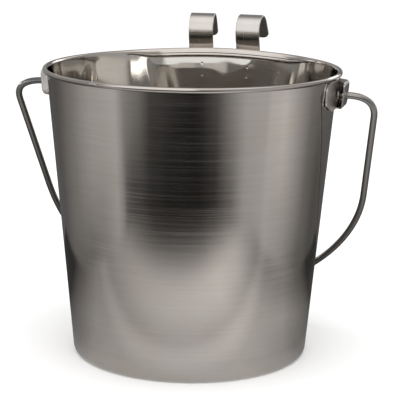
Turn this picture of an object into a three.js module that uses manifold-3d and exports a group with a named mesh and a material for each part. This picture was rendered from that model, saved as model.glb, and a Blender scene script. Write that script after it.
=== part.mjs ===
// Stainless steel hook pail: a tapered pail with a rolled rim and a flattened back,
// two strap hooks that go over a rail, two pressed bail ears and a swinging wire bail.
// Millimetres, +Z up. The origin is the middle of the underside of the base.
// +Y is the hook side. The bail swings about a line parallel to X.
import * as THREE from 'three';
import { mergeVertices } from 'three/addons/utils/BufferGeometryUtils.js';
import Module from 'manifold-3d';

const wasm = await Module();
wasm.setup();

// ---------- driving dimensions ----------
const HEIGHT = 239.5; // underside of the base to the top of the rim, away from the flat
const BASE_R = 98.2; // outside of the wall, carried down to z = 0
const TOP_R = 119.7; // outside of the wall, carried up to the rim
const SHEET = 0.9; // drawn sheet
const CORNER_R = 4.5; // outside radius between wall and base
const BEAD_R = 2.1; // rolled rim, radius of the roll
const GAP = 0.3; // clearance kept between neighbouring pieces

const FLAT_Y = 108.8; // outside of the flattened back, at its middle
const FLAT_BOW_R = 260; // the flattened back is still gently bowed
const FLAT_BLEND = 10; // softness of its two upright corners
const FLAT_EDGE_COS = 0.35; // the flat never reaches further round than this
const RIM_RISE = 2.9; // pressing the back flat lifts the rim this much
const RIM_RISE_SPAN = 48; // degrees to either side of +Y
const RIM_RISE_FROM = 150; // height at which the lift starts
const RIM_LEAN = 1; // over the flat the rolled rim leans this much inwards

const PIVOT_Z = 222; // height of the bail holes
const EAR_SHEET = 1.2;
const EAR_HOLE_R = 3.5;
const EAR_TOP = 234.9; // just under the rolled rim
const WING_Y = 28; // the wings reach this far to either side
const WING_LOW = 215.1;
const WING_CORNER_R = 4.5; // lower corners
const WING_TOP_R = 7; // upper corners
const HOOD_LOW = 210.6;
const HOOD_HIGH = 235.1;
const HOOD_BACK_Y = 15.3; // closed side of the hood
const MOUTH_WALL_Y = 1; // the hood's open side slants from here at the wall
const MOUTH_FACE_Y = -13; // to here at its outside face
const HOOD_X = 127.7; // outside face of the hood at the pivot
const HOOD_LEAN = 0.09; // the face follows the taper of the wall
const HOOD_ROOT_X = 117; // the hood is modelled from here, inside the wall
const HOOD_CORNER_R = 5;

const STRAP_W = 22;
const STRAP_T = 1.8;
const STRAP_CORNER_R = 5; // rounded corners at both ends of the strap
const HOOK_X = 21; // hooks to either side of the middle

const WIRE_R = 2.75;
const HEAD_R = 4.6; // upset heads, inside the ear hoods
const HEAD_T = 3;
const BAIL_LEAN = 28; // degrees behind straight down, where it rests on the wall
const BAIL_DROP = 222.6; // pivot line to the middle of the wire at the bottom
const BAIL_STRAIGHT = 129; // the ends are straight out to here
// Each side of the bail: outer face of its head, knee, end of the straight leg, inward slope
// of the leg and how firmly the bends pull. Bent by hand, so the sides differ a little.
const BAIL_RIGHT = {
  head: 123.2, kneeX: 149.4, kneeDrop: 20.5, legDrop: 103.3, slope: 0.136,
  kneeStart: 10.3, kneeEnd: 17.2, sweepStart: 62, sweepEnd: 66.3,
};
const BAIL_LEFT = {
  head: 125.4, kneeX: 154.8, kneeDrop: 20, legDrop: 111.6, slope: 0.101,
  kneeStart: 3, kneeEnd: 20.8, sweepStart: 53.9, sweepEnd: 118.5,
};

// ---------- helpers ----------
const { degToRad } = THREE.MathUtils;
const TAU = Math.PI * 2;
const WALL_SLOPE = (TOP_R - BASE_R) / HEIGHT;
const coneR = (z) => BASE_R + WALL_SLOPE * z;

// Outside of the wall at height z; a is the angle from +Y towards +X.
function wallR(a, z) {
  const round = coneR(z);
  if (Math.cos(a) < FLAT_EDGE_COS) return round;
  const centre = FLAT_Y - FLAT_BOW_R;
  const across = centre * Math.sin(a);
  const flat = centre * Math.cos(a) + Math.sqrt(FLAT_BOW_R ** 2 - across ** 2);
  const near = Math.max(FLAT_BLEND - Math.abs(round - flat), 0) / FLAT_BLEND;
  return Math.min(round, flat) - (near * near * FLAT_BLEND) / 4;
}

// 1 at the middle of the flat, 0 where the rim is round.
function overFlat(a) {
  const off = Math.abs(Math.atan2(Math.sin(a), Math.cos(a))) / degToRad(RIM_RISE_SPAN);
  return off < 1 ? 0.5 * (1 + Math.cos(Math.PI * off)) : 0;
}

// How far the rim is lifted over the flat.
function rimRise(a, z) {
  const up = Math.max(z - RIM_RISE_FROM, 0) / (HEIGHT - RIM_RISE_FROM);
  return RIM_RISE * overFlat(a) * up * up;
}

// Closed body through rings of [x, y, z] points, all rings the same length. The first
// and last ring are capped. It comes out with its faces pointing outwards.
function loft(rings) {
  const n = rings[0].length;
  const points = rings.flat();
  const faces = [];
  for (let i = 0; i + 1 < rings.length; i++) {
    for (let j = 0; j < n; j++) {
      const a = i * n + j;
      const b = i * n + ((j + 1) % n);
      faces.push([a, b, b + n], [a, b + n, a + n]);
    }
  }
  for (const start of [0, (rings.length - 1) * n]) {
    const ring = points.slice(start, start + n);
    const middle = [0, 1, 2].map((k) => ring.reduce((sum, p) => sum + p[k], 0) / n);
    const hub = points.push(middle) - 1;
    for (let j = 0; j < n; j++) {
      const edge = [start + j, start + ((j + 1) % n)];
      faces.push(start === 0 ? [hub, edge[1], edge[0]] : [hub, edge[0], edge[1]]);
    }
  }
  const corner = faces.map((f) => f.map((i) => new THREE.Vector3(...points[i])));
  const volume = corner.reduce((sum, [a, b, c]) => sum + a.dot(b.cross(c)), 0);
  if (volume < 0) faces.forEach((f) => f.reverse());
  const geometry = new THREE.BufferGeometry();
  geometry.setAttribute('position', new THREE.Float32BufferAttribute(points.flat(), 3));
  geometry.setIndex(faces.flat());
  return geometry;
}

function solid(geometry) {
  const bare = geometry.clone();
  bare.deleteAttribute('normal');
  bare.deleteAttribute('uv');
  const merged = mergeVertices(bare, 1e-4);
  return new wasm.Manifold(new wasm.Mesh({
    numProp: 3,
    vertProperties: new Float32Array(merged.attributes.position.array),
    triVerts: new Uint32Array(merged.index.array),
  }));
}

function fromSolid(manifold) {
  const mesh = manifold.getMesh();
  const geometry = new THREE.BufferGeometry();
  geometry.setAttribute('position', new THREE.Float32BufferAttribute(mesh.vertProperties, 3));
  geometry.setIndex(Array.from(mesh.triVerts));
  return geometry;
}

// ---------- pail shell: base, wall and rolled rim, one drawn sheet ----------
function pailShell() {
  const around = 84;
  const rows = [26, 55, 85, 112, 138, 165, 192, 215];
  const slope = Math.atan(WALL_SLOPE);
  const cornerX = BASE_R + WALL_SLOPE * CORNER_R - CORNER_R / Math.cos(slope);
  // { r, z } on the base, { off, z, lean } measured from the outside of the wall
  const profile = [];
  const corner = (radius, from, to) => {
    for (let i = 0; i <= 4; i++) {
      const t = THREE.MathUtils.lerp(from, to, i / 4);
      profile.push({ r: cornerX + radius * Math.cos(t), z: CORNER_R + radius * Math.sin(t) });
    }
  };
  profile.push({ r: BASE_R / 2, z: 0 });
  corner(CORNER_R, -Math.PI / 2, -slope);
  rows.forEach((z) => profile.push({ off: 0, z }));
  // the roll starts where it leaves the outside of the wall and ends on the inside
  const beadOff = BEAD_R - SHEET;
  const beadStart = Math.PI + Math.acos(beadOff / BEAD_R);
  for (let i = 0; i <= 9; i++) {
    const t = THREE.MathUtils.lerp(beadStart, Math.PI * 3, i / 9);
    const off = beadOff + BEAD_R * Math.cos(t);
    profile.push({ off, z: HEIGHT - BEAD_R + BEAD_R * Math.sin(t), lean: RIM_LEAN });
  }
  rows.slice().reverse().forEach((z) => profile.push({ off: -SHEET, z }));
  corner(CORNER_R - SHEET, -slope, -Math.PI / 2);
  profile.push({ r: BASE_R / 2, z: SHEET });

  return loft(profile.map(({ r, off, z, lean = 0 }) => Array.from({ length: around }, (_, j) => {
    const a = (j / around) * TAU;
    const radius = r ?? wallR(a, z) + off - lean * overFlat(a);
    return [radius * Math.sin(a), radius * Math.cos(a), z + rimRise(a, z)];
  })));
}

// ---------- bail ear: a pressed hood, open on one side, on a plate against the wall ----------
// The ear is made at the +X side of the pail.

// Solid cone of the wall around the ear, grown outwards by off.
function wallCone(off) {
  const [low, high, sides] = [195, 245, 160];
  const flats = Math.cos(Math.PI / sides);
  const cone = new THREE.CylinderGeometry(
    (coneR(high) + off) / flats, (coneR(low) + off) / flats, high - low, sides);
  cone.rotateX(Math.PI / 2);
  cone.translate(0, 0, (low + high) / 2);
  return solid(cone);
}

function roundedRect(y0, y1, z0, z1, r) {
  const points = [];
  const centres = [[y1 - r, z0 + r], [y1 - r, z1 - r], [y0 + r, z1 - r], [y0 + r, z0 + r]];
  centres.forEach(([y, z], quarter) => {
    for (let i = 0; i <= 4; i++) {
      const t = (Math.PI / 2) * (quarter - 1 + i / 4);
      points.push([y + r * Math.cos(t), z + r * Math.sin(t)]);
    }
  });
  return points;
}

// The hood as a solid that still runs on past its open side. A larger inset gives the
// hollow inside the sheet.
function hoodBody(inset) {
  const farSide = -34;
  const levels = [
    // share of the way out, draft, corner radius: the last steps round its shoulder
    [0, 0, HOOD_CORNER_R],
    [0.62, 1.1, HOOD_CORNER_R - 0.4],
    [0.84, 1.7, HOOD_CORNER_R - 0.6],
    [0.95, 2.7, HOOD_CORNER_R - 1.1],
    [1, 4.1, HOOD_CORNER_R - 1.8],
  ];
  return solid(loft(levels.map(([share, draft, radius]) => {
    const k = draft + inset;
    const outline = roundedRect(farSide, HOOD_BACK_Y - k, HOOD_LOW + k, HOOD_HIGH - k, radius - inset);
    return outline.map(([y, z]) => {
      const face = HOOD_X + HOOD_LEAN * (z - PIVOT_Z) - inset;
      const root = HOOD_ROOT_X - 10 * inset;
      return [share === 0 ? root : THREE.MathUtils.lerp(HOOD_ROOT_X, face, share), y, z];
    });
  })));
}

// The plate that lies against the wall: a wing to either side, fuller under the hood.
function earPlate() {
  const shape = new THREE.Shape();
  const y = WING_Y - WING_CORNER_R;
  const low = WING_LOW + WING_CORNER_R;
  const [topY, high] = [WING_Y - WING_TOP_R, EAR_TOP - WING_TOP_R];
  shape.moveTo(14.5, HOOD_LOW);
  shape.lineTo(17, HOOD_LOW + 0.8);
  shape.absarc(y, low, WING_CORNER_R, -Math.PI / 2, 0);
  shape.absarc(topY, high, WING_TOP_R, 0, Math.PI / 2);
  shape.absarc(-topY, high, WING_TOP_R, Math.PI / 2, Math.PI);
  shape.absarc(-y, low, WING_CORNER_R, Math.PI, Math.PI * 1.5);
  shape.lineTo(-17, HOOD_LOW + 0.8);
  shape.lineTo(-14.5, HOOD_LOW);
  const prism = new THREE.ExtrudeGeometry(shape, { depth: 25, bevelEnabled: false, curveSegments: 4 });
  prism.rotateX(Math.PI / 2);
  prism.rotateZ(Math.PI / 2);
  prism.translate(103, 0, 0);
  return wallCone(GAP + EAR_SHEET).subtract(wallCone(GAP)).intersect(solid(prism));
}

function bailEar() {
  // everything ahead of the slanting open side
  const rootX = coneR(PIVOT_Z) + GAP;
  const slant = Math.atan2(MOUTH_FACE_Y - MOUTH_WALL_Y, HOOD_X - rootX);
  const aheadBox = new THREE.BoxGeometry(60, 40, 60);
  aheadBox.translate(0, -20, 0);
  aheadBox.rotateZ(slant);
  aheadBox.translate((HOOD_X + rootX) / 2, (MOUTH_FACE_Y + MOUTH_WALL_Y) / 2, PIVOT_Z);
  const holeRod = new THREE.CylinderGeometry(EAR_HOLE_R, EAR_HOLE_R, 8, 32);
  holeRod.rotateZ(Math.PI / 2);
  holeRod.translate(HOOD_X, 0, PIVOT_Z);
  const hood = hoodBody(0).subtract(hoodBody(EAR_SHEET)).subtract(solid(aheadBox));
  return fromSolid(hood.subtract(wallCone(GAP)).subtract(solid(holeRod)).add(earPlate()));
}

// ---------- hook: a flat strap, welded behind the rim and bent over at the top ----------
// Made with the outside of the wall at y = 0.
function hook() {
  const back = STRAP_T / 2 + GAP;
  // middle line of the strap as [distance behind the wall, height]
  const route = new THREE.CatmullRomCurve3([
    [back, 207], [back, 218], [back, 228], [back + 3.4, 235.6], [back + 4.9, 241.5],
    [back + 2.2, 253], [back + 2.6, 261.4], [back + 8.4, 268.8], [back + 15.6, 270.6],
    [back + 22.2, 267], [back + 28.2, 259.4], [back + 34.2, 250],
  ].map(([y, z]) => new THREE.Vector3(0, y, z)), false, 'centripetal');
  const length = route.getLength();
  const steps = 34;
  const ends = [0, 0.02, 0.07, 0.15, 0.28, 0.48, 0.74, 1].map((k) => k * STRAP_CORNER_R);
  const stations = ends.slice();
  for (let i = 1; i < steps; i++) {
    const s = (length * i) / steps;
    if (Math.min(s, length - s) > STRAP_CORNER_R + 1) stations.push(s);
  }
  ends.reverse().forEach((s) => stations.push(length - s));
  return loft(stations.map((s) => {
    const p = route.getPointAt(s / length);
    const along = route.getTangentAt(s / length);
    const toEnd = Math.min(s, length - s, STRAP_CORNER_R);
    const cut = STRAP_CORNER_R - Math.sqrt(STRAP_CORNER_R ** 2 - (STRAP_CORNER_R - toEnd) ** 2);
    const w = STRAP_W / 2 - cut;
    const [dy, dz] = [(-along.z * STRAP_T) / 2, (along.y * STRAP_T) / 2];
    return [
      [-w, p.y + dy, p.z + dz], [w, p.y + dy, p.z + dz],
      [w, p.y - dy, p.z - dz], [-w, p.y - dy, p.z - dz],
    ];
  }));
}

// ---------- bail: one wire with an upset head on each end ----------
// Made hanging straight down from the pivot line, which is y = 0, z = 0.

// One side from its head to the bottom; side is 1 for +X and -1 for -X.
function bailSide(side, d) {
  const at = (x, drop) => new THREE.Vector3(side * x, 0, -drop);
  const legX = d.kneeX - d.slope * (d.legDrop - d.kneeDrop);
  const path = new THREE.CurvePath();
  path.add(new THREE.LineCurve3(at(d.head, 0), at(BAIL_STRAIGHT, 0)));
  path.add(new THREE.CubicBezierCurve3(
    at(BAIL_STRAIGHT, 0), at(BAIL_STRAIGHT + d.kneeStart, 0),
    at(d.kneeX + d.slope * d.kneeEnd, d.kneeDrop - d.kneeEnd), at(d.kneeX, d.kneeDrop)));
  path.add(new THREE.LineCurve3(at(d.kneeX, d.kneeDrop), at(legX, d.legDrop)));
  path.add(new THREE.CubicBezierCurve3(
    at(legX, d.legDrop), at(legX - d.slope * d.sweepStart, d.legDrop + d.sweepStart),
    at(d.sweepEnd, BAIL_DROP), at(0, BAIL_DROP)));
  return path.curves.flatMap((c, i) => c.getPoints(i === 0 ? 1 : 60).slice(i ? 1 : 0));
}

function bail() {
  const sides = 12;
  const fine = bailSide(-1, BAIL_LEFT).concat(bailSide(1, BAIL_RIGHT).reverse().slice(1));
  // a station wherever the wire has turned or run on far enough
  const stations = [];
  let turned = 0;
  let run = 0;
  for (let i = 1; i + 1 < fine.length; i++) {
    const before = fine[i].clone().sub(fine[i - 1]);
    const after = fine[i + 1].clone().sub(fine[i]);
    turned += before.angleTo(after);
    run += before.length();
    if (turned > degToRad(6) || run > 30 || i === 1 || i + 2 === fine.length) {
      stations.push({ at: fine[i], along: before.add(after).normalize(), r: WIRE_R });
      turned = 0;
      run = 0;
    }
  }
  const head = (x) => [
    [HEAD_T, HEAD_R * 0.62], [HEAD_T - 0.5, HEAD_R * 0.92], [HEAD_T - 1, HEAD_R],
    [0.7, HEAD_R], [0.2, HEAD_R * 0.93], [0, WIRE_R],
  ].map(([s, r]) => ({
    at: new THREE.Vector3(x + s * Math.sign(-x), 0, 0), along: new THREE.Vector3(-1, 0, 0), r,
  }));
  const chain = head(-BAIL_LEFT.head).concat(stations, head(BAIL_RIGHT.head).reverse());
  return loft(chain.map(({ at, along, r }) => Array.from({ length: sides }, (_, j) => {
    const t = (j / sides) * TAU;
    const flat = r * Math.cos(t);
    return [at.x + along.z * flat, at.y + r * Math.sin(t), at.z - along.x * flat];
  })));
}

// ---------- assembly ----------
function add(name, geometry, materialName, color, roughness) {
  const material = new THREE.MeshStandardMaterial({ color, metalness: 1, roughness });
  material.name = materialName;
  const mesh = new THREE.Mesh(geometry, material);
  mesh.name = name;
  pail.add(mesh);
  return mesh;
}

const pail = new THREE.Group();
pail.name = 'hook_pail';

add('pail_shell', pailShell(), 'shell_steel', 0xa9a6a2, 0.34);

// the same pressing on both sides, one turned half round
add('bail_ear_right', bailEar(), 'ear_steel', 0x9d9a96, 0.38);
add('bail_ear_left', bailEar(), 'ear_steel', 0x9d9a96, 0.38).rotation.z = Math.PI;

const bowCentreY = FLAT_Y - FLAT_BOW_R;
for (const [name, side] of [['hook_left', -1], ['hook_right', 1]]) {
  const mesh = add(name, hook(), 'strap_steel', 0xaeaaa5, 0.32);
  mesh.position.set(side * HOOK_X, bowCentreY + Math.sqrt(FLAT_BOW_R ** 2 - HOOK_X ** 2), 0);
  mesh.rotation.z = -side * Math.asin(HOOK_X / FLAT_BOW_R);
}

const wire = add('bail', bail(), 'wire_steel', 0x8d8b87, 0.3);
wire.position.z = PIVOT_Z;
wire.rotation.x = degToRad(BAIL_LEAN);

export default pail;
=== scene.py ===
import math

import bmesh
import bpy
import numpy as np
from mathutils import Matrix, Vector


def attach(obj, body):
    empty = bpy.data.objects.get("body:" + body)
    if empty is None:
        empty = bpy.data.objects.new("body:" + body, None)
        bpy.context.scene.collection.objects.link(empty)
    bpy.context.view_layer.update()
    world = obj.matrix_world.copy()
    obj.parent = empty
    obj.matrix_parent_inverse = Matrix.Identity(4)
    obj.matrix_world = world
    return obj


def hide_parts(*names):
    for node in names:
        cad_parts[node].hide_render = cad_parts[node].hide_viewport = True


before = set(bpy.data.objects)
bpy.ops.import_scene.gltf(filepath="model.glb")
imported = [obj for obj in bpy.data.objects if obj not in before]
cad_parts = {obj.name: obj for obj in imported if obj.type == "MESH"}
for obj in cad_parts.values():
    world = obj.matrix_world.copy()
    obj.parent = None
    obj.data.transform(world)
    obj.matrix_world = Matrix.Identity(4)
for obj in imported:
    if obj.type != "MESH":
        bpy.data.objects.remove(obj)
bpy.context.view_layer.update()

MM = 0.001
TAU = 2 * math.pi

# ---------------------------------------------------------------- the object's dimensions, mm
HEIGHT, BASE_R, TOP_R, SHEET = 239.5, 98.2, 119.7, 0.9
WALL_SLOPE = (TOP_R - BASE_R) / HEIGHT
CORNER_R, BEAD_R = 4.5, 2.1
# the flattened back: distance of its middle from the axis, radius of its bow, width of its corners
FLAT_Y, FLAT_BOW_R, FLAT_BLEND = 108.8, 260.0, 6.0
# where the flat, and the change of the roll over it, fade out, in degrees from the back
FLAT_FADE, ROLL_FADE = (27, 36), (31, 46)
# lift of the rim over the flat, half its span in degrees, and the height that it starts from
RIM_RISE, RIM_RISE_SPAN, RIM_RISE_FROM = 2.9, 48.0, 150.0
# over the flat the roll is this much taller, sits this far inwards, and leans by this slope
ROLL_STRETCH, ROLL_INWARDS, ROLL_LEAN = 0.9, 1.15, 0.26
# the flare of the wall under that roll, and the height where it ends
FLARE, FLARE_TOP = 1.6, 236.5
HOOK_X = 21.0
PIVOT_Z = 222.0
# depths at the welds: dent round each, pit in it, ring round the pit, ring round a tip mark
DENT, PIT_DEPTH, PIT_RING, TIP_RING = 0.10, 0.2, 0.02, 0.08
# spot welds inside the back wall, one pair behind each hook: x and height
WELDS = ((-19.0, 226.4), (-18.6, 216.4), (22.6, 224.6), (22.0, 216.4))


# ---------------------------------------------------------------- form of the wall
def cone_r(z):
    return BASE_R + WALL_SLOPE * z


def smooth(x, lo, hi):
    t = np.clip((x - lo) / (hi - lo), 0, 1)
    return t * t * (3 - 2 * t)


def bell(x, width):
    """1 at zero, falling off smoothly to either side."""
    return np.exp(-((x / width) ** 2))


def from_back(a):
    """Angle away from the middle of the back, 0 to pi."""
    return np.abs(np.arctan2(np.sin(a), np.cos(a)))


def wall_r(a, z):
    """Outside of the wall at angle a (from +Y towards +X) and height z."""
    round_r = cone_r(z)
    centre = FLAT_Y - FLAT_BOW_R
    across = centre * np.sin(a)
    flat = centre * np.cos(a) + np.sqrt(np.maximum(FLAT_BOW_R**2 - across**2, 1))
    # away from the back the flat is put out of reach
    facing_back = np.cos(a) >= 0.35
    flat = np.where(facing_back, flat, 1e3)
    near = np.maximum(FLAT_BLEND - np.abs(round_r - flat), 0) / FLAT_BLEND
    return np.minimum(round_r, flat) - near * near * FLAT_BLEND / 4


def fade_round(a, fade):
    """1 in the middle of the flattened back, 0 from the end of the fade outwards."""
    return 1 - smooth(from_back(a), math.radians(fade[0]), math.radians(fade[1]))


def rim_rise(a, z):
    off = from_back(a) / math.radians(RIM_RISE_SPAN)
    up = np.clip((z - RIM_RISE_FROM) / (HEIGHT - RIM_RISE_FROM), 0, 1)
    lift = RIM_RISE * 0.5 * (1 + np.cos(math.pi * np.minimum(off, 1)))
    return lift * up * up


def back_shape(a, z, r):
    """How far the sheet of the flattened back stands out from its plain form: flared under
    the roll, from a height that varies across the back, and dented round the welds."""
    x = r * np.sin(a)
    start = 221.4 + 4.2 * smooth(x, 12, 26) + 2.5 * smooth(-x, 38, 56) - 6.0 * bell(x - 3, 8.5)
    up = np.clip((z - start) / (FLARE_TOP - start), 0, 1)
    flare = FLARE * up**1.5 * (1 - 0.9 * smooth(x, 17, 34))
    dents = np.zeros_like(x)
    for weld_x, weld_z in WELDS:
        dents = dents + DENT * bell(x - weld_x, 5.5) * bell(z - weld_z, 4.5)
    return fade_round(a, FLAT_FADE) * (flare - dents)


def weld_mark(x, z):
    """Depth of the weld marks on the inside face at x, z: small pits, each with a raised ring."""
    depth = np.zeros(np.broadcast(x, z).shape)
    for weld_x, weld_z in WELDS:
        r = np.hypot(x - weld_x, z - weld_z)
        depth = depth + PIT_DEPTH * bell(r, 0.65) - PIT_RING * bell(r - 1.35, 0.5)
    return depth


def weld_sink(r, depth, inner_r, outer_r, ring_r, ring_w):
    """Depth of the flat-bottomed mark that a welding tip leaves outside, with a raised ring."""
    return depth * (1 - smooth(r, inner_r, outer_r)) - TIP_RING * bell(r - ring_r, ring_w)


# ---------------------------------------------------------------- mesh helpers
def linked_object(name, data):
    obj = bpy.data.objects.new(name, data)
    bpy.context.scene.collection.objects.link(obj)
    return obj


def make_object(name, verts, faces, uvs):
    """Mesh object from points in mm; uvs is one (u, v) per face corner, in metres."""
    mesh = bpy.data.meshes.new(name)
    mesh.from_pydata((np.asarray(verts, float) * MM).tolist(), [], faces)
    layer = mesh.uv_layers.new(name="grain")
    layer.data.foreach_set("uv", np.asarray(uvs, np.float32).ravel())
    mesh.shade_smooth()
    return linked_object(name, mesh)


def grid_faces(rows, cols, closed):
    """Quads of a grid of points, row by row, and the (row, column) of each one's corners; closed
    joins the last column to the first."""
    faces = []
    corners = []
    for i in range(rows - 1):
        for j in range(cols if closed else cols - 1):
            k = (j + 1) % cols
            faces.append((i * cols + j, i * cols + k, (i + 1) * cols + k, (i + 1) * cols + j))
            corners.append(((i, j), (i, j + 1), (i + 1, j + 1), (i + 1, j)))
    return faces, corners


def grid_object(name, points, closed, u, v, caps=False):
    """Object from points[rows, cols, 3]; u per column (one more if closed), v per row."""
    rows, cols = points.shape[:2]
    faces, corners = grid_faces(rows, cols, closed)
    uvs = [(u[j], v[i]) for quad in corners for i, j in quad]
    verts = points.reshape(-1, 3)
    if caps:
        for row in (0, rows - 1):
            ring = [row * cols + j for j in range(cols)]
            faces.append(tuple(ring[::-1] if row == 0 else ring))
            uvs += [(u[j], v[row]) for j in (reversed(range(cols)) if row == 0 else range(cols))]
    obj = make_object(name, verts, faces, uvs)
    bm = bmesh.new()
    bm.from_mesh(obj.data)
    bmesh.ops.recalc_face_normals(bm, faces=bm.faces)
    bm.to_mesh(obj.data)
    bm.free()
    return obj


def turn_grain(obj):
    """Swaps u and v, so that the grain runs from row to row instead of round each row."""
    layer = obj.data.uv_layers["grain"].data
    flat = np.zeros(len(layer) * 2, np.float32)
    layer.foreach_get("uv", flat)
    layer.foreach_set("uv", flat.reshape(-1, 2)[:, ::-1].ravel())


def path_length(points):
    steps = np.linalg.norm(np.diff(points, axis=0), axis=1)
    return np.concatenate([[0], np.cumsum(steps)])


def fill(lo, hi, step):
    """Evenly spaced values from lo up to, not including, hi."""
    n = max(1, round((hi - lo) / step))
    return list(np.linspace(lo, hi, n + 1)[:-1])


# ---------------------------------------------------------------- pail shell
# angles of the columns in degrees from the back, finer over the flat, its corners and the welds
COLUMN_EDGES = (-180, -46, -24, -13.6, -6.4, 8.6, 15.4, 24, 46, 180)
COLUMN_STEPS = (1.5, 0.6, 1.0, 0.22, 1.0, 0.22, 1.0, 0.6, 1.5)
# heights of the rows, as (from, to, step), finer by the welds and under the roll
ROW_SPANS = ((6, 200, 5.5), (200, 212, 2), (212, 230, 0.42), (230, 235.2, 0.6))
DISC_RADII = (0.4, 12, 30, 50, 70, 85)
GRAIN_R = 110  # the radius at which lengths along the grain of the wall are true


def corner_arc(radius):
    """The rounded corner of the base from its bottom upwards, as (distance from axis, height)."""
    slope = math.atan(WALL_SLOPE)
    centre_x = BASE_R + WALL_SLOPE * CORNER_R - CORNER_R / math.cos(slope)
    arc = []
    for i in range(11):
        t = -math.pi / 2 + (math.pi / 2 - slope) * i / 10
        arc.append((centre_x + radius * math.cos(t), CORNER_R + radius * math.sin(t)))
    return arc


def shell_rows():
    """Rows of the shell from the middle of the base outside, over the rim, to the middle inside,
    as (kind, radius or distance from the wall, height)."""
    bead_z = HEIGHT - BEAD_R
    wall = [z for span in ROW_SPANS for z in fill(*span)]
    # the outside has no weld marks, so fewer of the fine rows do there
    outside = [z for z in wall if z < 200 or z >= 230 or abs(round(z) - z) < 0.25]
    rows = [("disc", r, 0.0) for r in DISC_RADII]
    rows += [("disc", x, z) for x, z in corner_arc(CORNER_R)]
    rows += [("outer", 0.0, z) for z in outside]
    # crevice under the roll, then the roll itself, seen from below round to the inside
    rows += [("outer", 0.0, bead_z - 1.2), ("outer", 0.12, bead_z - 0.9)]
    for t in np.radians(np.linspace(-176, 180, 41)):
        rows.append(("bead", BEAD_R * math.cos(t), BEAD_R * math.sin(t)))
    rows += [("inner", -SHEET, bead_z - 0.9)]
    rows += [("inner", -SHEET, z) for z in reversed(wall)]
    rows += [("disc", x, z) for x, z in reversed(corner_arc(CORNER_R - SHEET))]
    rows += [("disc", r, SHEET) for r in reversed(DISC_RADII)]
    return rows


def bead_row(a, off, up):
    """Distance from the axis and height of a row of the roll: off and up are from its middle.
    Over the flat the roll is taller and leans inwards over the wall."""
    leaning = fade_round(a, ROLL_FADE)
    tall = 1 + ROLL_STRETCH * leaning
    middle = HEIGHT - BEAD_R * tall
    z = middle + up * tall
    off = BEAD_R - SHEET + off - ROLL_INWARDS * leaning
    off = off + ROLL_LEAN * leaning * (z - middle)
    return wall_r(a, z) + off, z


def build_shell():
    cols = []
    for lo, hi, step in zip(COLUMN_EDGES, COLUMN_EDGES[1:], COLUMN_STEPS):
        cols += fill(lo, hi, step)
    a = np.radians(np.array(cols))
    rows = shell_rows()
    points = np.zeros((len(rows), len(a), 3))
    for i, (kind, first, z) in enumerate(rows):
        if kind == "disc":
            r = np.full(len(a), first)
        elif kind == "bead":
            r, z = bead_row(a, first, z)
        else:
            r = wall_r(a, np.full(len(a), z))
            r = r + back_shape(a, z, r) + first
        if kind == "inner":
            r = r + weld_mark(r * np.sin(a), z)
        points[i, :, 0] = r * np.sin(a)
        points[i, :, 1] = r * np.cos(a)
        points[i, :, 2] = z + rim_rise(a, z)
    u = np.append(a, a[0] + TAU) * GRAIN_R * MM
    v = path_length(points[:, 0, :]) * MM
    shell = grid_object("pail_body", points, True, u, v, caps=True)
    # material 1 is the inside; of the two caps at the end, the first closes the base outside
    first_inside = next(i for i, row in enumerate(rows) if row[0] == "inner")
    inside = np.zeros(len(shell.data.polygons), np.int32)
    inside[first_inside * len(a):] = 1
    inside[-2] = 0
    shell.data.polygons.foreach_set("material_index", inside)
    return shell


# ---------------------------------------------------------------- hooks
STRAP_W, STRAP_T, STRAP_CORNER_R, STRAP_EDGE_R = 22.0, 1.8, 5.0, 0.45
GAP = 0.3  # between the wall and what is welded on it
STRAP_MIDDLE = STRAP_T / 2 + GAP
STRAP_WELDS = (225.5, 216.4)  # heights of the tip marks on the strap's outside
# middle line of the strap as (distance behind the wall, height)
STRAP_ROUTE = (
    (0, 207), (0, 218), (0, 228), (3.4, 235.6), (4.9, 241.5), (2.2, 253),
    (2.6, 261.4), (8.4, 268.8), (15.6, 270.6), (22.2, 267), (28.2, 259.4), (34.2, 250),
)


def through(points, per_span=24):
    """Close points on the centripetal Catmull-Rom curve through the points."""
    p = np.asarray(points, float)
    p = np.vstack([2 * p[0] - p[1], p, 2 * p[-1] - p[-2]])
    gaps = np.sqrt(np.linalg.norm(np.diff(p, axis=0), axis=1))
    t = np.linspace(0, 1, per_span, endpoint=False)[:, None]
    curve = []
    for i in range(1, len(p) - 2):
        p0, p1, p2, p3 = p[i - 1:i + 3]
        g0, g1, g2 = gaps[i - 1:i + 2]
        m1 = ((p1 - p0) / g0 - (p2 - p0) / (g0 + g1) + (p2 - p1) / g1) * g1
        m2 = ((p2 - p1) / g1 - (p3 - p1) / (g1 + g2) + (p3 - p2) / g2) * g1
        curve.append(
            (2 * t**3 - 3 * t**2 + 1) * p1 + (t**3 - 2 * t**2 + t) * m1
            + (3 * t**2 - 2 * t**3) * p2 + (t**3 - t**2) * m2
        )
    return np.vstack(curve + [p[-2:-1]])


def strap_section():
    """Outline of the strap's section: (kind, share of the way across, distance from its middle)."""
    half_t = STRAP_T / 2
    section = []
    for sign in (1, -1):
        section += [("face", -sign * k, sign * half_t) for k in np.linspace(-1, 1, 25)]
        for t in np.radians((22, 45, 68, 90, 112, 135, 158)):
            section.append(("edge", -sign * math.sin(t), sign * half_t * math.cos(t)))
    return section


def strap_stations(total):
    """Distances along a strap of this length, closer together at its ends and its weld marks."""
    ends = [0, 0.06, 0.25, 0.6, 1.1, 1.8, 2.6, 3.6, 4.9]
    inner = fill(5.6, 26, 0.5) + fill(26, total - 5.6, 1.3) + [total - 5.6]
    return np.array(ends + inner + [total - e for e in reversed(ends)])


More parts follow.
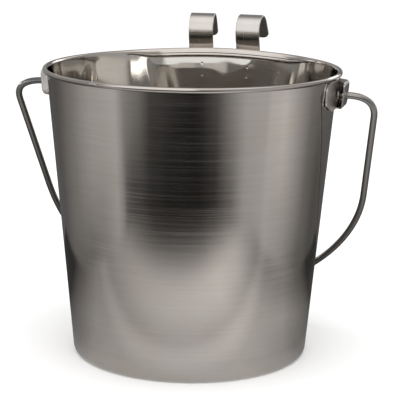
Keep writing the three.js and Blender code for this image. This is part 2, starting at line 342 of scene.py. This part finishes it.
def build_hook(name, side):
    line = through(STRAP_ROUTE)
    line[:, 0] += STRAP_MIDDLE
    run = path_length(line)
    total = run[-1]
    stations = strap_stations(total)
    y = np.interp(stations, run, line[:, 0])
    z = np.interp(stations, run, line[:, 1])
    dy = np.interp(stations, (run[1:] + run[:-1]) / 2, np.diff(line[:, 0]))
    dz = np.interp(stations, (run[1:] + run[:-1]) / 2, np.diff(line[:, 1]))
    norm = np.hypot(dy, dz)
    dy, dz = dy / norm, dz / norm
    # the corners of both ends are rounded
    to_end = np.minimum(np.minimum(stations, total - stations), STRAP_CORNER_R)
    cut = STRAP_CORNER_R - np.sqrt(STRAP_CORNER_R**2 - (STRAP_CORNER_R - to_end) ** 2)
    flat_half = STRAP_W / 2 - cut - STRAP_EDGE_R
    weld_x = 1.9 if side < 0 else 1.3
    section = strap_section()
    points = np.zeros((len(stations), len(section), 3))
    for j, (kind, k, off) in enumerate(section):
        if kind == "face":
            x = k * flat_half
        else:
            x = np.sign(k) * (flat_half + STRAP_EDGE_R * abs(k))
        sink = np.zeros(len(stations))
        if kind == "face" and off > 0:
            for weld_z in STRAP_WELDS:
                r = np.hypot(x - weld_x, z - weld_z)
                sink += weld_sink(r, 0.3, 1.7, 2.6, 3.0, 0.6)
        reach = off - sink
        points[:, j] = np.stack([x, y + dz * reach, z - dy * reach], 1)
    # turned to face straight out of the bowed flat
    turn = -side * math.asin(HOOK_X / FLAT_BOW_R)
    base_y = FLAT_Y - FLAT_BOW_R + math.sqrt(FLAT_BOW_R**2 - HOOK_X**2)
    c, s = math.cos(turn), math.sin(turn)
    x, y = points[..., 0].copy(), points[..., 1].copy()
    points[..., 0] = side * HOOK_X + c * x - s * y
    points[..., 1] = base_y + s * x + c * y
    ring = points[len(stations) // 2]
    u = path_length(np.vstack([ring, ring[:1]])) * MM
    obj = grid_object(name, points, True, u, stations * MM, caps=True)
    turn_grain(obj)
    return obj


# ---------------------------------------------------------------- bail
WIRE_R, HEAD_R, HEAD_T, WIRE_SIDES = 2.75, 4.6, 3.0, 28
# lean behind straight down, drop to the middle of the bottom, and where the straight ends stop
BAIL_LEAN, BAIL_DROP, BAIL_STRAIGHT = math.radians(28), 222.6, 129.0
# upset heads: distance from their inner face, and share of the head's radius there
HEAD_PROFILE = (
    (0.0, 0.35), (0.02, 0.6), (0.12, 0.78), (0.35, 0.9), (0.7, 0.97), (1.1, 1.0),
    (1.9, 1.0), (2.3, 0.96), (2.65, 0.86), (2.9, 0.74), (3.0, 0.62),
)
# outer face of the head, knee across and down, end of the straight leg, its inward slope, and
# how firmly the bends pull: start and end of the knee, start and end of the sweep to the bottom
BAIL_RIGHT = (123.2, 149.4, 20.5, 103.3, 0.136, 10.3, 17.2, 62.0, 66.3)
BAIL_LEFT = (125.4, 154.8, 20.0, 111.6, 0.101, 3.0, 20.8, 53.9, 118.5)


def bezier(p0, p1, p2, p3, n):
    t = np.linspace(0, 1, n)[:, None]
    p0, p1, p2, p3 = (np.asarray(p, float) for p in (p0, p1, p2, p3))
    return (1 - t) ** 3 * p0 + 3 * (1 - t) ** 2 * t * p1 + 3 * (1 - t) * t**2 * p2 + t**3 * p3


def bail_side(side, head, knee_x, knee_d, leg_d, slope, knee_start, knee_end, sweep_start, sweep_end):
    """Middle line of one side, head to bottom, as (across, down from the pivot line)."""
    leg_x = knee_x - slope * (leg_d - knee_d)
    straight = np.linspace((head, 0), (BAIL_STRAIGHT, 0), 4)
    knee = bezier((BAIL_STRAIGHT, 0), (BAIL_STRAIGHT + knee_start, 0),
                  (knee_x + slope * knee_end, knee_d - knee_end), (knee_x, knee_d), 22)
    leg = np.linspace((knee_x, knee_d), (leg_x, leg_d), 16)
    lower = bezier((leg_x, leg_d), (leg_x - slope * sweep_start, leg_d + sweep_start),
                   (sweep_end, BAIL_DROP), (0, BAIL_DROP), 60)
    line = np.vstack([straight, knee[1:], leg[1:], lower[1:]])
    return line * (side, 1)


def build_bail():
    left, right = bail_side(-1, *BAIL_LEFT), bail_side(1, *BAIL_RIGHT)
    line = np.vstack([left, right[-2::-1]])
    along = np.gradient(line, axis=0)
    along /= np.linalg.norm(along, axis=1)[:, None]
    radius = np.full(len(line), WIRE_R)
    # both ends of the wire run towards -X through their heads
    left_head = [(HEAD_T - BAIL_LEFT[0] - d, 0.0) for d, _ in HEAD_PROFILE]
    right_head = [(BAIL_RIGHT[0] - HEAD_T + d, 0.0) for d, _ in HEAD_PROFILE]
    head_r = [share * HEAD_R for _, share in HEAD_PROFILE]
    head_along = [(-1.0, 0.0)] * len(HEAD_PROFILE)
    line = np.vstack([left_head, line, right_head[::-1]])
    along = np.vstack([head_along, along, head_along])
    radius = np.concatenate([head_r, radius, head_r[::-1]])
    # rings of points square to the wire, then the lean behind straight down
    t = np.arange(WIRE_SIDES) / WIRE_SIDES * TAU
    x = line[:, :1] + radius[:, None] * np.cos(t) * -along[:, 1:]
    down = line[:, 1:] + radius[:, None] * np.cos(t) * along[:, :1]
    y = radius[:, None] * np.sin(t)
    c, s = math.cos(BAIL_LEAN), math.sin(BAIL_LEAN)
    points = np.stack([x, c * y + s * down, PIVOT_Z + s * y - c * down], -1)
    run = path_length(np.column_stack([line, np.zeros(len(line))])) * MM
    obj = grid_object("bail_wire", points, True, np.append(t, TAU) * WIRE_R * MM, run, caps=True)
    turn_grain(obj)
    return obj


# ---------------------------------------------------------------- bail ears
EAR_SHEET, EAR_HOLE_R, EAR_TOP, EAR_LOW = 1.2, 3.5, 234.9, 210.6
EAR_EDGE, DRILL_LENGTH = 0.4, 8
# the hood: its closed side, distance and lean of its face, corners; then where its open side,
# which slants, meets the wall and the face
HOOD_BACK_Y, HOOD_X, HOOD_LEAN, HOOD_CORNER_R = 15.3, 127.7, 0.09, 5.0
MOUTH_WALL_Y, MOUTH_FACE_Y = 1.0, -13.0
# the plate: half its width, the height of its lower corners, its corner radii, its weld marks
WING_Y, WING_LOW, WING_CORNER_R, WING_TOP_R = 28.0, 215.1, 4.5, 7.0
WING_WELD_Y, WING_WELD_Z = 21.3, 225


def modified(obj, kind, **settings):
    """Applies a modifier and returns the same object."""
    modifier = obj.modifiers.new(kind, kind)
    for key, value in settings.items():
        setattr(modifier, key, value)
    bpy.context.view_layer.update()
    graph = bpy.context.evaluated_depsgraph_get()
    mesh = bpy.data.meshes.new_from_object(obj.evaluated_get(graph))
    obj.modifiers.clear()
    obj.data = mesh
    return obj


def hood_outline(inset, corner, mouth_y):
    """Half-open outline of the hood, from the mouth along the bottom, up the closed side
    and back along the top, as (y, z)."""
    y1, z0, z1 = HOOD_BACK_Y - inset, EAR_LOW + inset, EAR_TOP - inset
    quarter = np.radians(np.linspace(0, 90, 11)[1:])
    bottom = [(y, z0) for y in np.linspace(mouth_y, y1 - corner, 26)]
    low = [(y1 - corner * (1 - math.sin(t)), z0 + corner * (1 - math.cos(t))) for t in quarter]
    side = [(y1, z) for z in np.linspace(z0 + corner, z1 - corner, 16)[1:]]
    high = [(y1 - corner * (1 - math.cos(t)), z1 - corner * (1 - math.sin(t))) for t in quarter]
    top = [(y, z1) for y in np.linspace(y1 - corner, mouth_y, 26)[1:]]
    return np.array(bottom + low + side + high + top)


def on_wall(y, z, off):
    """How far out the wall is at y, z, plus off."""
    return np.sqrt((cone_r(z) + off) ** 2 - y**2)


def hood_skin():
    """Outside of the hood: its flanks from the wall outwards, then its face."""
    # inset and share of the way out, from the wall to the rim of the face
    foot = [(0.0, 0.0), (0.02, 0.03), (0.1, 0.08), (0.28, 0.12), (0.5, 0.15), (0.7, 0.2), (0.85, 0.3),
            (1.1, 0.48), (1.3, 0.62)]
    shoulder = [(1.3 + 3.1 * (1 - math.cos(t)), 0.66 + 0.34 * math.sin(t))
                for t in np.radians(np.linspace(4, 90, 12))]
    rows = []
    for inset, share in foot + shoulder:
        mouth_y = MOUTH_WALL_Y + (MOUTH_FACE_Y - MOUTH_WALL_Y) * share
        line = hood_outline(inset, max(HOOD_CORNER_R - 0.5 * inset, 2.2), mouth_y)
        face = HOOD_X + HOOD_LEAN * (line[:, 1] - PIVOT_Z)
        root = on_wall(line[:, 0], line[:, 1], GAP)
        rows.append(np.column_stack([root + (face - root) * share, line]))
    rim = rows[-1]
    centre = np.array([0.0, MOUTH_FACE_Y, (EAR_LOW + EAR_TOP) / 2])
    for w in (0.07, 0.16, 0.28, 0.42, 0.58, 0.74, 0.88, 1.0):
        row = rim + (centre - rim) * w
        row[:, 0] = HOOD_X + HOOD_LEAN * (row[:, 2] - PIVOT_Z) + 0.25 * smooth(w, 0, 0.8)
        rows.append(row)
    return np.stack(rows)


def ear_plate():
    """Outer face of the plate that lies against the wall, fuller under the hood."""
    ys = WING_Y * np.sin(np.radians(np.linspace(-90, 90, 74)))
    off = np.abs(ys)

    def corner(radius):
        return np.sqrt(np.maximum(radius**2 - np.maximum(off - (WING_Y - radius), 0) ** 2, 0))

    # lowest under the hood, rising beside it to the lower corners
    edge = (14.5, 17, WING_Y - WING_CORNER_R)
    low = np.interp(off, edge, (EAR_LOW, EAR_LOW + 0.8, WING_LOW))
    low = low + WING_CORNER_R - corner(WING_CORNER_R)
    high = EAR_TOP - WING_TOP_R + corner(WING_TOP_R)
    k = np.linspace(0, 1, 44)[:, None]
    z = low + (high - low) * k
    y = np.broadcast_to(ys, z.shape)
    r = np.hypot(np.abs(y) - WING_WELD_Y, z - WING_WELD_Z)
    sink = weld_sink(r, 0.28, 1.2, 2.0, 2.3, 0.45)
    # the lower part stands a little off the wall
    flare = 0.9 * np.clip((227 - z) / 12, 0, 1) ** 2
    x = on_wall(y, z, GAP + EAR_SHEET + flare) - sink
    return np.stack([x, y, z], -1)


def sheet_object(name, points):
    """Open sheet from a grid of points, its faces turned towards +X."""
    u = path_length(points[0]) * MM
    v = path_length(points[:, 0]) * MM
    obj = grid_object(name, points, False, u, v)
    bm = bmesh.new()
    bm.from_mesh(obj.data)
    bmesh.ops.remove_doubles(bm, verts=bm.verts, dist=1e-6)
    bm.normal_update()
    middle = sum((f.normal * f.calc_area() for f in bm.faces), Vector())
    if middle.x < 0:
        bmesh.ops.reverse_faces(bm, faces=bm.faces)
    bm.to_mesh(obj.data)
    bm.free()
    return obj


def thickened(sheet):
    """Gives the sheet its thickness, inwards."""
    return modified(sheet, "SOLIDIFY", thickness=EAR_SHEET * MM, offset=-1.0, use_even_offset=True)


def drilled(hood):
    """Cuts the bail's hole through the face of the hood."""
    drill = bpy.data.meshes.new("drill")
    bm = bmesh.new()
    place = Matrix.Translation((HOOD_X * MM, 0, PIVOT_Z * MM)) @ Matrix.Rotation(math.pi / 2, 4, "Y")
    bmesh.ops.create_cone(bm, cap_ends=True, segments=48, radius1=EAR_HOLE_R * MM,
                          radius2=EAR_HOLE_R * MM, depth=DRILL_LENGTH * MM, matrix=place)
    bm.to_mesh(drill)
    bm.free()
    tool = linked_object("drill", drill)
    modified(hood, "BOOLEAN", object=tool, operation="DIFFERENCE", solver="EXACT")
    bpy.data.objects.remove(tool)
    return hood


def build_ear(name):
    """Hood, with material 0, and plate, with material 1, in one object."""
    hood = drilled(thickened(sheet_object(name, hood_skin())))
    plate = thickened(sheet_object(name + "_plate", ear_plate()))
    parts = [hood, plate]
    bm = bmesh.new()
    for i, part in enumerate(parts):
        modified(part, "BEVEL", width=EAR_EDGE * MM, segments=3, limit_method="ANGLE",
                 angle_limit=math.radians(50))
        part.data.polygons.foreach_set("material_index", [i] * len(part.data.polygons))
        bm.from_mesh(part.data)
    bmesh.ops.dissolve_degenerate(bm, dist=1e-7, edges=bm.edges[:])
    whole = bpy.data.meshes.new(name)
    bm.to_mesh(whole)
    bm.free()
    for part in parts:
        bpy.data.objects.remove(part)
    whole.shade_smooth()
    return modified(linked_object(name, whole), "WEIGHTED_NORMAL", keep_sharp=True)


# ---------------------------------------------------------------- studio
# place and direction fitted to the photograph, in metres; roll in radians, lens and sensor in mm
CAMERA_AT = Vector((0.29946, -1.16633, 0.39791))
CAMERA_LOOK = Vector((-0.23676, 0.94649, -0.21930)).normalized()
CAMERA_ROLL = 0.01303
CAMERA_LENS, SENSOR = 132.57, 36.0
CAMERA_TURN = math.atan2(CAMERA_AT.x, -CAMERA_AT.y)
FLOOR_HALF = 14  # metres
# level of the world for the eye and diffuse light, and of the lamp in what the steel mirrors
PLAIN_LEVEL, LAMP_LEVEL = 1.15, 2.6


def add_camera():
    data = bpy.data.cameras.new("photo_camera")
    data.lens, data.sensor_width = CAMERA_LENS, SENSOR
    camera = linked_object("photo_camera", data)
    right = CAMERA_LOOK.cross(Vector((0, 0, 1))).normalized()
    up = right.cross(CAMERA_LOOK)
    c, s = math.cos(CAMERA_ROLL), math.sin(CAMERA_ROLL)
    right, up = right * c + up * s, up * c - right * s
    camera.matrix_world = Matrix((
        (right.x, up.x, -CAMERA_LOOK.x, CAMERA_AT.x),
        (right.y, up.y, -CAMERA_LOOK.y, CAMERA_AT.y),
        (right.z, up.z, -CAMERA_LOOK.z, CAMERA_AT.z),
        (0, 0, 0, 1),
    ))
    data.clip_start, data.clip_end = 0.01, 60
    bpy.context.scene.camera = camera


class Nodes:
    """Short hand for building the node tree of a material or world."""

    def __init__(self, owner):
        owner.use_nodes = True
        self.tree = owner.node_tree
        self.tree.nodes.clear()

    def add(self, kind, **settings):
        node = self.tree.nodes.new(kind)
        for key, value in settings.items():
            setattr(node, key, value)
        return node

    def put(self, socket, value):
        if isinstance(value, bpy.types.NodeSocket):
            self.tree.links.new(value, socket)
        else:
            socket.default_value = value

    def math(self, operation, a, b=0.0, c=0.0):
        node = self.add("ShaderNodeMath", operation=operation)
        for socket, value in zip(node.inputs, (a, b, c)):
            self.put(socket, value)
        return node.outputs[0]

    def ramp(self, fac, stops):
        """Straight lines between the stops, each a place and a grey level or a colour."""
        node = self.add("ShaderNodeValToRGB")
        elements = node.color_ramp.elements
        while len(elements) < len(stops):
            elements.new(0.5)
        for element, (at, value) in zip(elements, stops):
            element.position = at
            if isinstance(value, (int, float)):
                value = (value, value, value)
            element.color = (*value, 1)
        self.put(node.inputs["Fac"], fac)
        return node.outputs["Color"]

    def mix(self, fac, a, b, blend="MIX"):
        node = self.add("ShaderNodeMix", data_type="RGBA", blend_type=blend)
        self.put(node.inputs["Factor"], fac)
        for socket, value in ((node.inputs[6], a), (node.inputs[7], b)):
            if isinstance(value, (int, float)):
                value = (value, value, value, 1)
            elif isinstance(value, tuple) and len(value) == 3:
                value = (*value, 1)
            self.put(socket, value)
        return node.outputs[2]


def studio_world():
    """White for the eye and for diffuse light. For gloss, a room with lit and dark parts, its
    levels written after the brightness of the reflections in the photograph."""
    world = bpy.data.worlds.new("studio")
    bpy.context.scene.world = world
    n = Nodes(world)
    coord = n.add("ShaderNodeTexCoord")
    turn = n.add("ShaderNodeVectorRotate", rotation_type="Z_AXIS")
    n.put(turn.inputs["Vector"], coord.outputs["Generated"])
    turn.inputs["Angle"].default_value = -CAMERA_TURN
    split = n.add("ShaderNodeSeparateXYZ")
    n.put(split.inputs[0], turn.outputs[0])
    # azimuth: turns from the camera's side of the pail, negative to its left, plus a half;
    # height: half turns above straight down
    front = n.math("MULTIPLY", split.outputs["Y"], -1.0)
    azimuth = n.math("DIVIDE", n.math("ARCTAN2", split.outputs["X"], front), TAU)
    azimuth = n.math("ADD", azimuth, 0.5)
    height = n.math("DIVIDE", n.math("ARCSINE", split.outputs["Z"]), math.pi)
    height = n.math("ADD", height, 0.5)

    def room(stops):
        """Levels round the room, at degrees from the camera's side."""
        return n.ramp(azimuth, [(deg / 360 + 0.5, value) for deg, value in stops])

    def storey(stops):
        """Levels up the room, at degrees above the horizon."""
        return n.ramp(height, [(deg / 180 + 0.5, value) for deg, value in stops])

    floor_far = room([
        (-180, 0.10), (-140, 0.12), (-112, 0.28), (-90, 0.50), (-64, 0.60), (-57, 0.38), (-43, 0.26),
        (-34, 0.08), (-12, 0.03), (1, 0.008), (8, 0.03), (20, 0.13), (32, 0.38), (43, 0.54),
        (62, 0.56), (65, 0.66), (80, 0.74), (96, 0.45), (112, 0.20), (130, 0.10), (180, 0.10),
    ])
    floor_near = room([
        (-180, 0.10), (-125, 0.08), (-98, 0.14), (-80, 0.28), (-66, 0.44), (-60, 0.30), (-56, 0.07),
        (-51, 0.02), (-25, 0.012), (-20, 0.006), (8, 0.006), (20, 0.02), (34, 0.15), (46, 0.42),
        (68, 0.52), (88, 0.36), (108, 0.14), (140, 0.07), (180, 0.08),
    ])
    low = n.mix(storey([(-21.3, 0.0), (-18.6, 1.0)]), floor_near, floor_far)
    high = room([
        (-180, 0.30), (-150, 0.50), (-125, 0.45), (-95, 0.33), (-74, 0.36), (-66, 1.0), (-45, 1.15),
        (0, 1.2), (6, 0.40), (62, 0.45), (90, 0.45), (122, 0.30), (130, 1.0), (150, 1.0),
        (158, 0.20), (180, 0.20),
    ])
    horizon = room([
        (-180, 0.10), (-130, 0.10), (-90, 0.35), (-40, 0.30), (0, 0.26),
        (60, 0.40), (95, 0.42), (130, 0.20), (155, 0.11), (180, 0.10),
    ])
    low = n.mix(storey([(-15, 0.0), (-10, 1.0)]), low, horizon)
    # the ceiling is bright in front and dark behind
    backwards = n.math("MULTIPLY_ADD", split.outputs["Y"], 0.5, 0.5)
    top = n.ramp(backwards, [(0.0, 0.9), (0.36, 1.25), (0.5, 1.1), (0.65, 0.55), (0.85, 0.15)])
    walls = n.mix(storey([(-8, 0.0), (2.5, 1.0)]), low, high)
    glossy = n.mix(storey([(38, 0.0), (55, 1.0)]), walls, top)
    # a lamp behind on the right, above the rim
    lamp_round = room([(136, 0.0), (139, 1.0), (158, 1.0), (161, 0.0)])
    lamp_up = storey([(12, 0.0), (14, 1.0), (23, 1.0), (25, 0.0)])
    glossy = n.mix(n.mix(1.0, lamp_round, lamp_up, "MULTIPLY"), glossy, LAMP_LEVEL)
    path = n.add("ShaderNodeLightPath")
    colour = n.mix(path.outputs["Is Glossy Ray"], PLAIN_LEVEL, glossy)
    background = n.add("ShaderNodeBackground")
    n.put(background.inputs["Color"], colour)
    background.inputs["Strength"].default_value = 1.0
    out = n.add("ShaderNodeOutputWorld")
    n.put(out.inputs["Surface"], background.outputs[0])


def simple_material(name, shader_kind, socket, value):
    material = bpy.data.materials.new(name)
    n = Nodes(material)
    shader = n.add(shader_kind)
    shader.inputs[socket].default_value = value
    out = n.add("ShaderNodeOutputMaterial")
    n.put(out.inputs["Surface"], shader.outputs[0])
    return material


def table_glow():
    """How bright the table shows in the steel: levels written after the brightness of
    the photograph's reflections, with bands from the pail's axis towards the camera."""
    material = bpy.data.materials.new("table_glow")
    n = Nodes(material)
    coord = n.add("ShaderNodeTexCoord")
    split = n.add("ShaderNodeSeparateXYZ")
    n.put(split.inputs[0], coord.outputs["Object"])
    across = n.math("ADD", split.outputs["X"], 0.5)
    along = n.math("MULTIPLY_ADD", split.outputs["X"], -0.3, n.math("MULTIPLY", split.outputs["Y"], -2.0))
    bands = n.ramp(along, [
        (0.0, 0.55), (0.22, 0.62), (0.27, 0.76), (0.30, 0.74), (0.335, 0.60), (0.37, 0.66),
        (0.44, 0.80), (0.53, 0.84), (0.58, 0.70), (0.64, 0.42), (0.72, 0.14), (0.80, 0.03),
    ])
    sides = n.ramp(across, [
        (0.2, 0.45), (0.32, 0.66), (0.42, 0.80), (0.5, 0.88), (0.6, 1.0), (0.68, 0.84), (0.76, 0.5),
    ])
    behind = n.ramp(n.math("ADD", split.outputs["Y"], 0.5), [(0.45, 1.0), (0.53, 0.55), (0.62, 0.12)])
    # painted shadow of the pail on the table: darker close to the base at its sides, most on the right
    length = n.add("ShaderNodeVectorMath", operation="LENGTH")
    n.put(length.inputs[0], coord.outputs["Object"])
    close = n.ramp(length.outputs["Value"], [(0.125, 1.0), (0.19, 0.0)])
    angle = n.math("ARCTAN2", split.outputs["X"], n.math("MULTIPLY", split.outputs["Y"], -1.0))
    turned = n.math("ADD", n.math("DIVIDE", angle, TAU), 0.5)
    shade = n.ramp(turned, [(0.26, 0.75), (0.34, 1.0), (0.58, 1.0), (0.64, 0.80), (0.72, 0.55)])
    shade = n.mix(close, 1.0, shade)
    glow_level = n.mix(1.0, n.mix(1.0, bands, sides, "MULTIPLY"), behind, "MULTIPLY")
    shader = n.add("ShaderNodeEmission")
    n.put(shader.inputs["Color"], n.mix(1.0, glow_level, shade, "MULTIPLY"))
    out = n.add("ShaderNodeOutputMaterial")
    n.put(out.inputs["Surface"], shader.outputs[0])
    return material


def panel(name, corners, material):
    mesh = bpy.data.meshes.new(name)
    mesh.from_pydata(corners, [], [tuple(range(len(corners)))])
    obj = linked_object(name, mesh)
    obj.data.materials.append(material)
    return obj


def studio():
    studio_world()
    half = FLOOR_HALF
    pale = simple_material("floor_pale", "ShaderNodeBsdfDiffuse", "Color", (0.9, 0.9, 0.9, 1))
    floor = panel("floor", [(-half, -half, 0), (half, -half, 0), (half, half, 0), (-half, half, 0)], pale)
    floor.visible_glossy = False
    floor.visible_shadow = False
    # what the steel mirrors of the floor: a glowing table of limited size, with painted light and the
    # pail's painted shadow in its glow
    table = panel("glowing_table_top", [
        (-0.30, -0.30, 0), (-0.20, -0.42, 0), (0.13, -0.42, 0), (0.30, -0.27, 0), (0.30, 0.30, 0),
        (-0.30, 0.30, 0)], table_glow())
    table.location.z = -0.0001  # just under the base
    table.rotation_euler.z = CAMERA_TURN
    # a strip of light on the left shines into the pail over a grey flag close to the rim
    strip = panel("light_strip", [
        (-1.5, -0.86, 0.535), (-1.5, 0.9, 0.50), (-1.5, 0.9, 0.57), (-1.5, 0.0, 0.575),
        (-1.5, -0.86, 0.602)], simple_material("strip_glow", "ShaderNodeEmission", "Strength", 7.0))
    flag = panel("grey_flag", [
        (-0.15, -0.16, 0.225), (-0.15, 0.12, 0.225), (-0.15, 0.058, 0.272), (-0.15, -0.02, 0.276),
        (-0.15, -0.08, 0.279), (-0.15, -0.14, 0.283)],
        simple_material("flag_grey", "ShaderNodeEmission", "Strength", 0.3))
    for piece in (table, strip, flag):
        piece.visible_camera = False
        piece.visible_diffuse = False
        piece.visible_shadow = False
    lamp = bpy.data.lights.new("soft_box", "AREA")
    lamp.shape, lamp.size, lamp.size_y = "RECTANGLE", 1.4, 1.4
    lamp.energy = 12
    box = linked_object("soft_box", lamp)
    box.location = (0.1, -0.3, 1.6)
    box.rotation_euler = (math.radians(-10), 0, 0)
    box.visible_glossy = False


# ---------------------------------------------------------------- materials
def steel(name, colour, roughness, anisotropy, stretch, streaks, relief,
          wear=0.04, rub=0.0, level_grain=False):
    """Stainless steel with a brushed grain, along u or level round the object. stretch: cells per
    metre along and across the grain; streaks, wear and rub: how far streaks, smudges and rubbed
    patches change the roughness; relief: height of the grain in metres."""
    material = bpy.data.materials.new(name)
    n = Nodes(material)
    uv = n.add("ShaderNodeUVMap", uv_map="grain")
    place = n.add("ShaderNodeTexCoord").outputs["Object"]

    def noise(vector, scale, size, detail=2.0):
        scaled = n.add("ShaderNodeVectorMath", operation="MULTIPLY")
        n.put(scaled.inputs[0], vector)
        scaled.inputs[1].default_value = scale
        node = n.add("ShaderNodeTexNoise", noise_dimensions="3D")
        n.put(node.inputs["Vector"], scaled.outputs[0])
        node.inputs["Scale"].default_value = size
        node.inputs["Detail"].default_value = detail
        return node.outputs["Fac"]

    def streak(longer, finer, detail):
        """Noise stretched along the grain: round the object if level, else along u."""
        along, across = stretch[0] * longer, stretch[1] * finer
        if level_grain:
            return noise(place, (along, along, across), 1.0, detail)
        return noise(uv.outputs[0], (along, across, 1), 1.0, detail)

    fine = streak(1, 1, 3.0)
    broad = streak(0.45, 0.22, 2.0)
    smudge = noise(place, (1, 1, 1), 28.0, 4.0)
    scratch = n.ramp(streak(0.6, 2.4, 1.0), [(0.66, 0.0), (0.72, 1.0)])

    grain = n.math("ADD", n.math("MULTIPLY", fine, 0.6), n.math("MULTIPLY", broad, 0.4))
    level = n.math("MULTIPLY_ADD", n.math("SUBTRACT", grain, 0.5), streaks, roughness)
    level = n.math("MULTIPLY_ADD", n.math("SUBTRACT", smudge, 0.5), wear, level)
    level = n.math("MULTIPLY_ADD", scratch, 0.05, level)
    rubbed = n.math("MULTIPLY", n.ramp(streak(1.2, 0.3, 5.0), [(0.45, 0.0), (0.75, 1.0)]), fine)
    level = n.math("MULTIPLY_ADD", rubbed, rub, level)
    tone = n.ramp(grain, [(0.3, 0.965), (0.5, 1.0), (0.7, 1.03)])
    tint = n.ramp(smudge, [(0.35, (0.97, 0.955, 0.93)), (0.62, (1.0, 1.0, 1.0))])
    base = n.mix(1.0, n.mix(1.0, tone, tint, "MULTIPLY"), colour, "MULTIPLY")

    bump = n.add("ShaderNodeBump")
    bump.inputs["Distance"].default_value = relief
    bump.inputs["Strength"].default_value = 1.0
    n.put(bump.inputs["Height"], grain)

    shader = n.add("ShaderNodeBsdfPrincipled")
    shader.inputs["Metallic"].default_value = 1.0
    shader.inputs["Anisotropic"].default_value = anisotropy
    shader.inputs["Anisotropic Rotation"].default_value = 0.25
    n.put(shader.inputs["Base Color"], base)
    n.put(shader.inputs["Roughness"], level)
    n.put(shader.inputs["Normal"], bump.outputs[0])
    tangent = n.add("ShaderNodeTangent", direction_type="UV_MAP", uv_map="grain")
    n.put(shader.inputs["Tangent"], tangent.outputs[0])
    out = n.add("ShaderNodeOutputMaterial")
    n.put(out.inputs["Surface"], shader.outputs[0])
    return material


# ---------------------------------------------------------------- the scene
add_camera()
studio()
bpy.context.scene.view_settings.view_transform = "Standard"

shell = build_shell()
ear_right = build_ear("ear_pressed_right")
ear_left = build_ear("ear_pressed_left")
ear_left.data.transform(Matrix.Rotation(math.pi, 4, "Z"))
hook_left = build_hook("strap_hook_left", -1)
hook_right = build_hook("strap_hook_right", 1)
wire = build_bail()

outside = steel("shell_steel_brushed", (0.62, 0.575, 0.535), roughness=0.085, anisotropy=0.9,
                stretch=(7, 1900), streaks=0.07, relief=0.5e-6, rub=0.10, level_grain=True)
inside = steel("shell_steel_inside", (0.62, 0.60, 0.57), roughness=0.06, anisotropy=0.6,
               stretch=(9, 900), streaks=0.05, relief=0.3e-6, wear=0.03, level_grain=True)
hood_steel = steel("ear_steel_pressed", (0.52, 0.50, 0.485), roughness=0.2, anisotropy=0.0,
                   stretch=(90, 500), streaks=0.10, relief=2e-6)
# a lighter copy of the ears' steel, near white and rougher: painted light, standing in for the bright
# reflections on the plates
lit_ear_steel = steel("ear_steel_painted_light", (0.97, 0.92, 0.89), roughness=0.38, anisotropy=0.0,
                    stretch=(90, 500), streaks=0.15, relief=3e-6)
strap_steel = steel("strap_steel_satin", (0.64, 0.61, 0.58), roughness=0.22, anisotropy=0.4,
                    stretch=(25, 1800), streaks=0.04, relief=0.3e-6)
wire_steel = steel("wire_steel_drawn", (0.36, 0.345, 0.33), roughness=0.24, anisotropy=0.3,
                   stretch=(40, 900), streaks=0.12, relief=3e-6)

for piece, body, node, slot, materials in (
    (shell, "pail", "pail_shell", "shell_steel", (outside, inside)),
    (ear_right, "pail", "bail_ear_right", "ear_steel", (hood_steel, lit_ear_steel)),
    # the left ear has the painted-light copy of the steel on its hood and its plate
    (ear_left, "pail", "bail_ear_left", "ear_steel", (lit_ear_steel, lit_ear_steel)),
    (hook_left, "pail", "hook_left", "strap_steel", (strap_steel,)),
    (hook_right, "pail", "hook_right", "strap_steel", (strap_steel,)),
    (wire, "bail", "bail", "wire_steel", (wire_steel,)),
):
    for material in materials:
        piece.data.materials.append(material)
    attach(piece, body)
    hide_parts(node)
